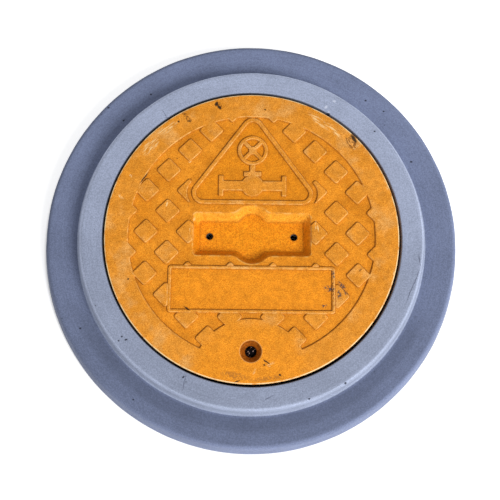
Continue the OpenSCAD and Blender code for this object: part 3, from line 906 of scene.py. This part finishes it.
# Marks: x, y, half length and half width in millimetres, turn in degrees, tone. Too many in
# one material seem to make it render black, so their number is kept down.
RESIN_MARKS = [
    (-64, 232, 4.5, 2.8, 70, "soot"), (-59, 226, 5, 2.6, 130, "soot"), (-60, 229, 8, 5, 120, "brown"),
    (-118, 211, 7, 3.4, 130, "brown"), (-112, 203, 8, 4, 130, "brown"), (-110, 200, 2.5, 1.6, 0, "soot"),
    (-129, 199, 2.1, 1.8, 0, "soot"), (-186, 97, 12, 0.9, 56, "soot"), (-208, 100, 3.4, 2, 120, "cream"),
    (-224, 64, 6, 2, 140, "cream"), (-176, 154, 18, 9, 55, "cream"), (-149, 186, 20, 6, 35, "cream"),
    (-145, 53, 6, 2, 80, "cream"), (-107, 128, 4, 1.8, 20, "cream"), (-130, 133, 2, 1.4, 0, "brown"),
    (-99, 27, 4.5, 1.8, 70, "cream"), (-105, 8, 7, 1, 78, "cream"), (115, 203, 24, 6, 140, "cream"),
    (140, 187, 16, 4, 130, "cream"), (175, 172, 9, 3, 120, "soot"), (171, 165, 14, 8, 125, "brown"),
    (180, 158, 9, 2, 40, "cream"), (229, 91, 10, 2.6, 105, "cream"), (21, 223, 1.7, 1.4, 0, "soot"),
    (108, 18, 9, 1.6, 82, "cream"), (112, 12, 7, 1.4, 100, "cream"), (-206, -78, 2.1, 1.7, 20, "soot"),
    (-107, -126, 6, 1.4, 145, "soot"), (151, -84, 9, 3.2, 135, "slate"), (158, -96, 7, 3, 120, "slate"),
    (147, -100, 7, 4, 100, "slate"), (122, -119, 5, 2.6, 10, "slate"), (137, -66, 9, 2.4, 100, "slate"),
    (130, -90, 9, 5, 0, "slate"), (137, -98, 26, 1.3, 90, "brown"), (183, -58, 3, 1.8, 20, "brown"),
    (239, -60, 9, 1.3, 80, "cream"), (26, -213, 7, 1.1, 145, "soot"), (33, -217, 7, 2, 30, "cream"),
    (22, -218, 1.9, 1.5, 0, "soot"), (48, -234, 2, 1.6, 0, "soot"), (-22, -245, 5, 1.4, 15, "soot"),
    (26, -240, 26, 4, 8, "stain"), (-26, -236, 22, 6, 170, "stain"), (6, -229, 5, 1.6, 60, "cream"),
]
# Dirt round the mouths of the lifting holes
RIM_DIRT_R = LIFT_R + 0.6
HOLE_RIMS = [(hx, hy, RIM_DIRT_R, RIM_DIRT_R, 0, "soot") for hx, hy in LIFTS]
CONCRETE_MARKS = [
    (-213, -174, 1.7, 1.5, 0, "pinhole"), (-206, -179, 2.6, 1.6, 20, "pinhole"),
    (-218, -181, 1.5, 1.3, 0, "pinhole"), (-110, -239, 2.4, 1.6, 40, "pinhole"),
    (156, -246, 2.2, 1.9, 0, "pinhole"), (96, -272, 1.8, 1.6, 0, "pinhole"),
    (211, 186, 1.8, 1.5, 0, "pinhole"), (131, 217, 3.4, 1.6, 160, "pinhole"),
    (-258, 236, 2.2, 1.8, 0, "pinhole"), (-230, 212, 1.8, 1.6, 0, "pinhole"),
    (202, 256, 2.1, 1.7, 0, "pinhole"), (234, 236, 1.9, 1.5, 0, "pinhole"),
    (-289, -158, 2.2, 1.6, 0, "pinhole"), (281, 143, 2.4, 1.8, 0, "pinhole"),
    (-195, -276, 1.8, 1.5, 0, "pinhole"), (-183, 262, 2.0, 1.7, 0, "pinhole"),
    (283, -40, 12, 0.9, 97, "crack"), (271, -83, 34, 0.9, 66, "crack"), (-108, -247, 14, 0.7, 80, "crack"),
    (-153, 212, 9, 0.6, 125, "crack"), (-149, 206, 5, 0.6, 20, "crack"), (30, -271, 9, 0.7, 25, "crack"),
    (127, 229, 4, 1.8, 40, "chip"), (131, 219, 3, 1.6, 60, "chip"), (141, 240, 3, 2, 0, "chip"),
]


def resin_look():
    look = Look("orange_resin")
    raised, edge, foot = (look.attribute(n) for n in ("raised", "edge", "foot"))
    shade = look.range(look.noise(38), 0.35, 0.65)
    colour = look.mix(shade, (0.66, 0.222, 0.01), (0.76, 0.27, 0.016))
    colour = look.mix(look.attribute("sign"), colour, (0.70, 0.235, 0.008))
    colour = look.mix(look.attribute("plaque"), colour, (0.76, 0.256, 0.011))
    colour = look.mix(look.attribute("hollow"), colour, (0.76, 0.255, 0.007))
    # Painted highlight: the recess's north wall, facing the lamp, is made lighter and yellower.
    colour = look.mix(look.attribute("north"), colour, (0.9, 0.39, 0.032))
    colour = look.mix(raised, colour, look.mix(shade, (0.65, 0.236, 0.017), (0.70, 0.266, 0.026)))
    apron = look.times(raised, look.range(look.radius(0, APRON_Y), APRON_R + 14, APRON_R - 20))
    colour = look.mix(look.times(apron, 0.8), colour, (0.76, 0.262, 0.012))
    bare = look.range(look.noise(48, 3), 0.5, 0.68, 0, 0.6)
    bare = look.times(bare, look.math("SUBTRACT", raised, apron, True))
    colour = look.mix(bare, colour, (0.72, 0.365, 0.1))
    # Painted shade: the recess's south wall is made darker.
    colour = look.mix(look.times(look.attribute("south_wall_shade"), 0.6), colour, (0.42, 0.14, 0.004))
    # Painted shade along the foot of the recess's walls.
    colour = look.mix(look.times(look.attribute("crease_shade"), 0.6), colour, (0.4, 0.12, 0.004))
    colour = look.mottle(colour, 13, 0.09, 3)
    swirls = look.range(look.noise(8, 4, 0.65, swirl=1.6), 0.35, 0.65, 0.9, 1.1)
    colour = look.tint(colour, swirls)
    colour = look.grain(colour, 1.5, (0.7, 0.5, 0.0), (1.32, 1.52, 2.1))
    fleck = look.range(look.cells(8).outputs["Distance"], 0.16, 0.06)
    fleck = look.times(fleck, look.range(look.noise(25), 0.45, 0.6, 0, 0.5))
    colour = look.mix(fleck, colour, (0.2, 0.06, 0.006))
    lips = look.times(look.attribute("mouth"), look.range(look.noise(9, 3), 0.45, 0.6, 0.1, 0.8))
    colour = look.mix(lips, colour, (0.86, 0.47, 0.12))
    # Pale top edges: wear, with a painted highlight that is strongest where they face the lamp.
    wear_and_highlight = look.times(edge, look.range(look.noise(8), 0.38, 0.58, 0.1, 0.85))
    colour = look.mix(wear_and_highlight, colour, (0.9, 0.56, 0.2))
    # Dark feet of the relief: dirt, with painted shade on the side away from the lamp and a painted shadow on the
    # ground beside them.
    dirt_and_shade = look.times(foot, look.range(look.noise(12), 0.25, 0.6, 0.6, 1.0))
    colour = look.mix(dirt_and_shade, colour, (0.1, 0.027, 0.002))
    brim = look.times(look.attribute("brim"), look.range(look.noise(16, 3), 0.34, 0.52, 0.15, 1.0))
    colour = look.mix(brim, colour, (1.0, 0.85, 0.5))
    from_lock = look.radius(0, LOCK_Y)
    well = look.range(from_lock, WELL_R + 0.6, WELL_R - 2)
    colour = look.mix(well, colour, look.mottle((0.29, 0.072, 0.003), 3.5, 0.35))
    ring = look.times(look.range(from_lock, WELL_R - 1.2, WELL_R - 0.2),
                      look.range(from_lock, WELL_R + 1, WELL_R), 0.4)
    colour = look.mix(ring, colour, (0.75, 0.45, 0.2))
    ragged = look.shaken(5, 1.6)
    crumbs = look.range(look.noise(2.6, 2), 0.42, 0.53)
    streaks = look.range(look.ring_strokes(16, 1.8, 225), 0.47, 0.6)
    colour = look.marked(colour, ragged, RESIN_MARKS, "cream", 0.75, streaks)
    colour = look.marked(colour, ragged, RESIN_MARKS, "stain", 0.7, crumbs)
    colour = look.marked(colour, ragged, RESIN_MARKS, "brown", 0.8, crumbs)
    colour = look.marked(colour, ragged, RESIN_MARKS, "slate", 0.85, crumbs)
    colour = look.marked(colour, look.shaken(4, 0.7), RESIN_MARKS + HOLE_RIMS, "soot", 0.92)
    grain = look.bump(look.noise(1.6, 3, 0.6), 0.35, 0.4)
    normal = look.bump(look.noise(14, 3), 0.3, 0.8, grain)
    rough = look.range(look.noise(3), 0.3, 0.7, 0.5, 0.72)
    return look.finish(colour, rough, normal, specular=0.12)


def concrete_look():
    look = Look("grey_concrete")
    r, north, height = look.radius(), look.along("Y"), look.along("Z")
    wall = look.range(r, COLLAR_TOP_R - 3.5, COLLAR_TOP_R)
    colour = look.mix(wall, (0.28, 0.318, 0.432), (0.41, 0.465, 0.62))
    dip = look.times(look.range(r, COLLAR_TOP_R + 2, COLLAR_TOP_R + 4.5),
                     look.range(r, COLLAR_FOOT_R - 2, COLLAR_FOOT_R - 4.5), 0.45)
    colour = look.mix(dip, colour, (0.26, 0.295, 0.4))
    flange = look.range(r, COLLAR_FOOT_R - 0.8, COLLAR_FOOT_R + 1.6)
    colour = look.mix(flange, colour, (0.146, 0.175, 0.278))
    lip = look.times(look.range(r, FLANGE_R - 3, FLANGE_R + 3),
                     look.range(height, FLANGE_Z - 6, FLANGE_Z, 0.3, 1.0))
    colour = look.mix(look.times(lip, 0.4), colour, (0.2, 0.23, 0.34))
    band = look.times(look.range(r, COLLAR_FOOT_R + 2, COLLAR_FOOT_R + 6),
                      look.range(r, 338, 318), look.range(north, -90, -200))
    colour = look.tint(colour, look.range(band, 0, 1, 1.0, 0.8))
    # Painted light: darker towards -y and lighter towards +y, standing in for uneven light across the cover.
    colour = look.tint(colour, look.range(north, -330, 330, 0.86, 1.14))
    slant = look.math("SUBTRACT", look.along("X"), north)
    lit = look.tint(colour, look.range(slant, -450, 450, 0.7, 1.4))
    colour = look.mix(look.range(r, FLANGE_R - 8, FLANGE_R - 1), colour, lit)
    # Painted shade: the inside of the opening, down in the narrow gap round the lid, is made almost black.
    inside = look.range(r, OPENING_R + 1, OPENING_R - 1)
    colour = look.mix(inside, colour, (0.03, 0.033, 0.045))
    colour = look.mottle(colour, 75, 0.06, 4)
    colour = look.mottle(colour, 2.2, 0.2, 3, 0.75)
    colour = look.tint(colour, look.range(look.ring_strokes(70, 3, 280), 0.3, 0.7, 0.95, 1.05))
    spot = look.cells(17)
    chosen = look.range(look.noise(11, 1), 0.56, 0.6)
    hole = look.times(look.range(spot.outputs["Distance"], 0.075, 0.03), chosen, 0.8)
    colour = look.mix(hole, colour, TONES["pinhole"])
    ragged = look.shaken(7, 1.3)
    colour = look.marked(colour, ragged, CONCRETE_MARKS, "crack", 0.7)
    colour = look.marked(colour, ragged, CONCRETE_MARKS, "chip", 0.6)
    colour = look.marked(colour, look.place, CONCRETE_MARKS, "pinhole", 0.95)
    normal = look.bump(look.noise(2.2, 4, 0.6), 0.25, 0.4)
    normal = look.bump(look.math("MULTIPLY", hole, -1), 0.5, 0.8, normal)
    return look.finish(colour, look.range(look.noise(5), 0.3, 0.7, 0.7, 0.9), normal, specular=0.2)


def steel_look(name, colour, tarnish, roughness, share=0.5):
    look = Look(name)
    spot = look.range(look.noise(5, 4, 0.6), 0.62 - share * 0.3, 0.72)
    mixed = look.mix(spot, colour, tarnish)
    rough = look.range(look.noise(1.5, 3), 0.3, 0.7, roughness - 0.1, roughness + 0.12)
    normal = look.bump(look.noise(0.8, 3), 0.2, 0.15)
    return look.finish(mixed, rough, normal, metallic=0.85)


def key_look():
    """Dark steel with pale grit in the hollows of the key end."""
    look = Look("gritty_key_end")
    colour = look.mottle((0.004, 0.003, 0.004), 4, 0.5)
    grit = look.range(look.cells(4.2).outputs["Distance"], 0.3, 0.14)
    grit = look.times(grit, look.range(look.noise(3.4), 0.4, 0.5))
    colour = look.mix(grit, colour, (0.34, 0.22, 0.18))
    return look.finish(colour, look.range(grit, 0, 1, 0.5, 0.8), look.bump(grit, 0.4, 0.4), specular=0.02)


def rubber_look():
    look = Look("black_rubber")
    colour = look.mix(look.range(look.noise(6), 0.4, 0.7), (0.018, 0.018, 0.02), (0.05, 0.048, 0.045))
    return look.finish(colour, look.range(look.noise(2), 0.3, 0.7, 0.6, 0.85),
                       look.bump(look.noise(1.2, 3), 0.3, 0.2), specular=0.3)


def dress_nodes():
    """Gives each CAD node that stays visible the look of its material slot."""
    looks = {
        "rubber": rubber_look(),
        "reinforcing_steel": steel_look("rusty_bar", (0.13, 0.1, 0.09), (0.2, 0.075, 0.03), 0.6, 0.9),
        "zinc_steel": steel_look("zinc_plate", (0.55, 0.56, 0.57), (0.4, 0.38, 0.35), 0.38),
        "dark_steel": steel_look("black_steel", (0.03, 0.028, 0.026), (0.1, 0.06, 0.03), 0.5),
        "spring_steel": steel_look("spring_wire", (0.3, 0.3, 0.31), (0.2, 0.13, 0.08), 0.35),
        "brass": steel_look("turned_brass", (0.6, 0.42, 0.16), (0.35, 0.24, 0.1), 0.35),
    }
    for part in frame["record"]["subparts"]:
        node = frame["nodes"][part["node"]]
        if part["material_slot"] in looks:
            node.data.materials.clear()
            node.data.materials.append(looks[part["material_slot"]])
    bolt = frame["nodes"]["lock_bolt"].data
    bolt.materials.clear()
    bolt.materials.append(key_look())


# ---- Floor, light and camera ----
def make_floor():
    mesh = bpy.data.meshes.new("floor")
    half = 6.0
    z = -0.0005
    mesh.from_pydata([(-half, -half, z), (half, -half, z), (half, half, z), (-half, half, z)],
                     [], [(0, 1, 2, 3)])
    floor = bpy.data.objects.new("floor", mesh)
    bpy.context.scene.collection.objects.link(floor)
    look = Look("pale_floor")
    colour = look.mix(look.noise(300), (0.9, 0.9, 0.9), (0.93, 0.93, 0.93))
    look.shader.inputs["Emission Color"].default_value = (1, 1, 1, 1)
    glow = look.range(look.radius(), FOOT_R - 2, FOOT_R + 7, 0.0, 0.55)
    look.put(look.shader.inputs["Emission Strength"], glow)
    mesh.materials.append(look.finish(colour, 0.9, specular=0.1))


def make_light(name, azimuth, elevation, distance, size, power):
    """A round lamp that looks at the middle of the cover."""
    a, e = math.radians(azimuth), math.radians(elevation)
    back = Vector((math.sin(a) * math.cos(e), -math.cos(a) * math.cos(e), math.sin(e)))
    data = bpy.data.lights.new(name, "AREA")
    data.shape = "DISK"
    data.size = size
    data.energy = power
    lamp = bpy.data.objects.new(name, data)
    lamp.location = back * distance
    lamp.rotation_mode = "QUATERNION"
    lamp.rotation_quaternion = (-back).to_track_quat("-Z", "Y")
    bpy.context.scene.collection.objects.link(lamp)


def make_world(strength):
    world = bpy.data.worlds.new("studio")
    world.use_nodes = True
    background = world.node_tree.nodes["Background"]
    background.inputs["Color"].default_value = (1, 1, 1, 1)
    background.inputs["Strength"].default_value = strength
    bpy.context.scene.world = world


def make_camera():
    """Camera almost straight above, a little towards the lock and slightly rolled."""
    azimuth, elevation, roll = (math.radians(d) for d in (-3.297, 79.319, 3.938))
    distance, aim = 1.4172, Vector((-0.00267, -0.01944, 0.054))
    back = Vector((math.sin(azimuth) * math.cos(elevation),
                   -math.cos(azimuth) * math.cos(elevation), math.sin(elevation)))
    right = (-back).cross(Vector((0, 0, 1))).normalized()
    up = right.cross(-back)
    right, up = (right * math.cos(roll) + up * math.sin(roll),
                 up * math.cos(roll) - right * math.sin(roll))
    data = bpy.data.cameras.new("camera")
    data.sensor_width = 36
    data.lens = 59.0
    camera = bpy.data.objects.new("camera", data)
    turn = Matrix((right, up, back)).transposed().to_4x4()
    camera.matrix_world = Matrix.Translation(aim + back * distance) @ turn
    bpy.context.scene.collection.objects.link(camera)
    bpy.context.scene.camera = camera


lid = make_lid()
lid.data.materials.append(resin_look())
surround = make_surround()
surround.data.materials.clear()
surround.data.materials.append(concrete_look())
dress_nodes()
make_floor()
make_world(strength=0.52)
make_light("key", azimuth=44, elevation=47, distance=6.0, size=2.66, power=304)
make_camera()
bpy.context.scene.view_settings.view_transform = "Standard"
